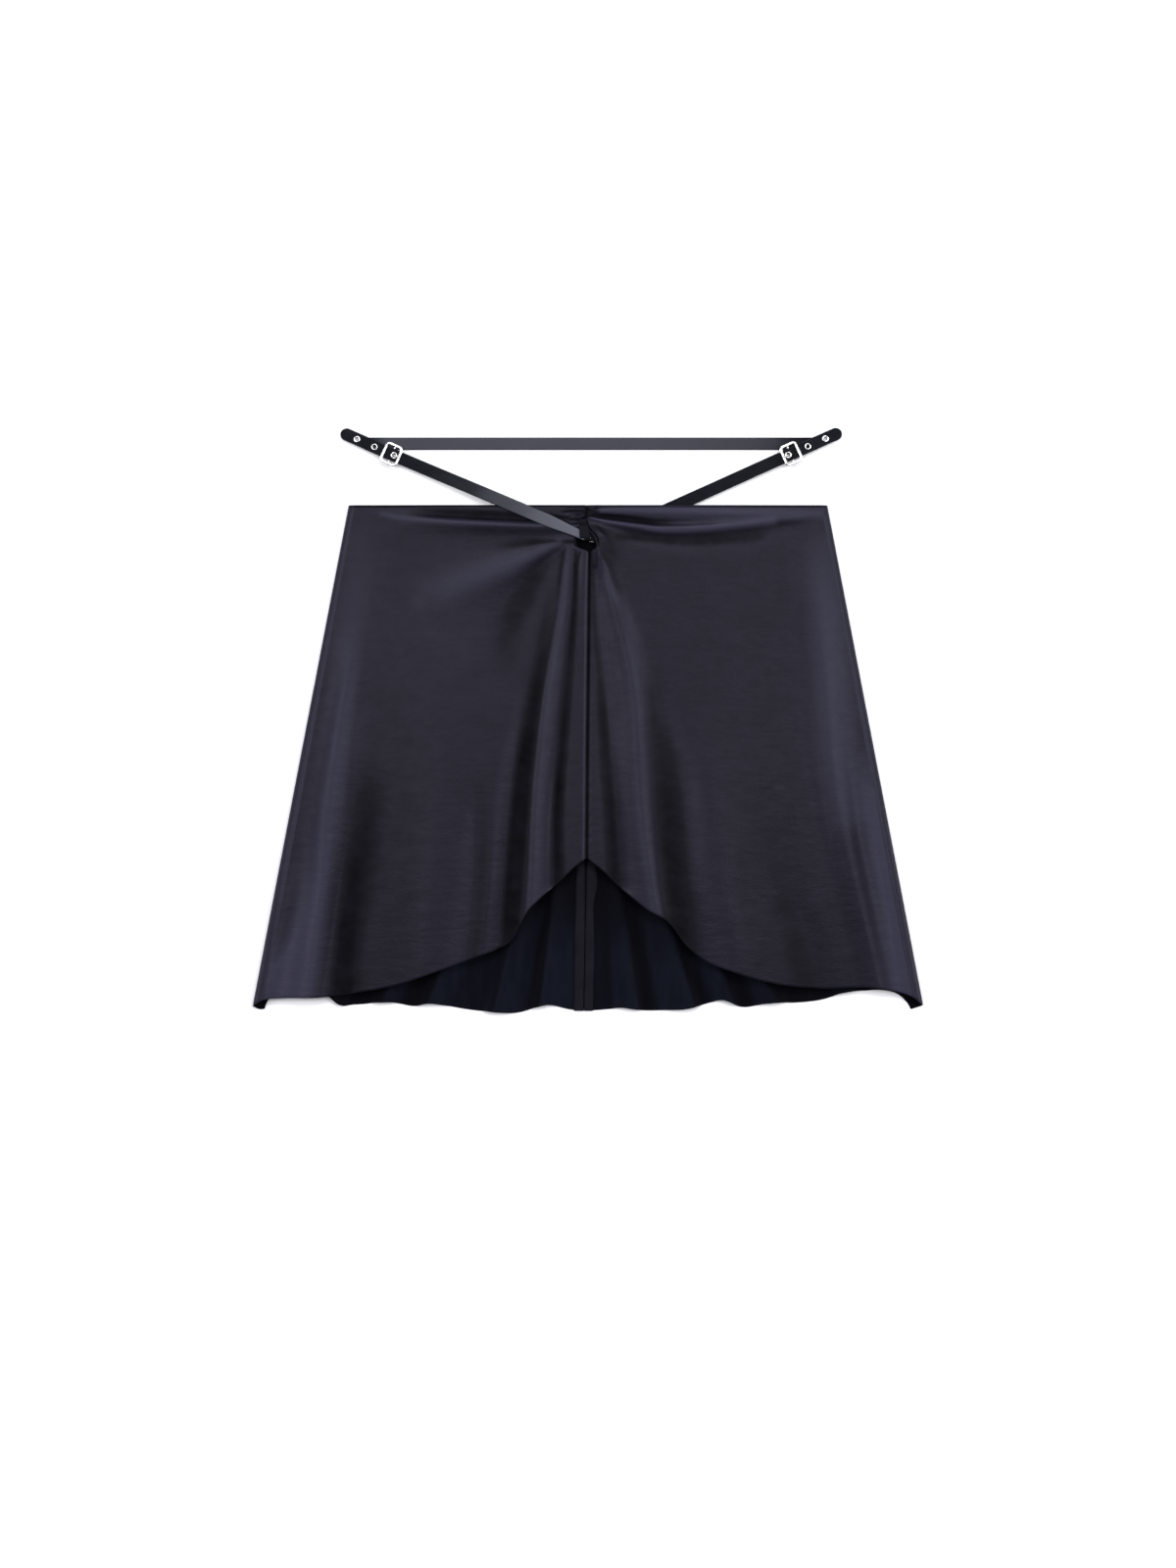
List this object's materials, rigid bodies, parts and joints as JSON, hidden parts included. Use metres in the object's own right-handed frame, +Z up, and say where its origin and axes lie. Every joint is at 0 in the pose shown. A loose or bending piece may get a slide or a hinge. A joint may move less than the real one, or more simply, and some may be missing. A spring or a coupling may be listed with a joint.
{
  "type": "leather mini skirt",
  "caption": "Short A-line leather skirt laid flat, with an arched front hem, a fluted back hem and a thin buckled strap belt threaded through a slit at the front.",
  "frame": {"origin": "middle of the underside, on the surface the skirt lies on", "axes": "+X across the skirt, towards the right as seen from above with the waist away from you; +Y from the hem towards the waist; +Z up off the surface, the way the front faces"},
  "size_m": [0.5463, 0.4764, 0.0199],
  "materials": {
    "front_leather": "soft semi-matt nappa grain, near black with a violet cast",
    "back_leather": "grain side outwards, matt navy black suede side inwards",
    "strap_leather": "smooth, slightly glossy, cut edges",
    "nickel": "polished pale nickel"
  },
  "bodies": {
    "root": {"front_left": "front_leather", "front_right": "front_leather", "back_left": "back_leather", "back_right": "back_leather", "front_loop": "front_leather", "front_strap": "strap_leather", "back_strap": "strap_leather", "buckle_left": "nickel", "prong_left": "nickel", "eyelet_left_1": "nickel", "eyelet_left_2": "nickel", "eyelet_left_3": "nickel", "buckle_right": "nickel", "prong_right": "nickel", "eyelet_right_1": "nickel", "eyelet_right_2": "nickel", "eyelet_right_3": "nickel"}
  },
  "joints": []
}
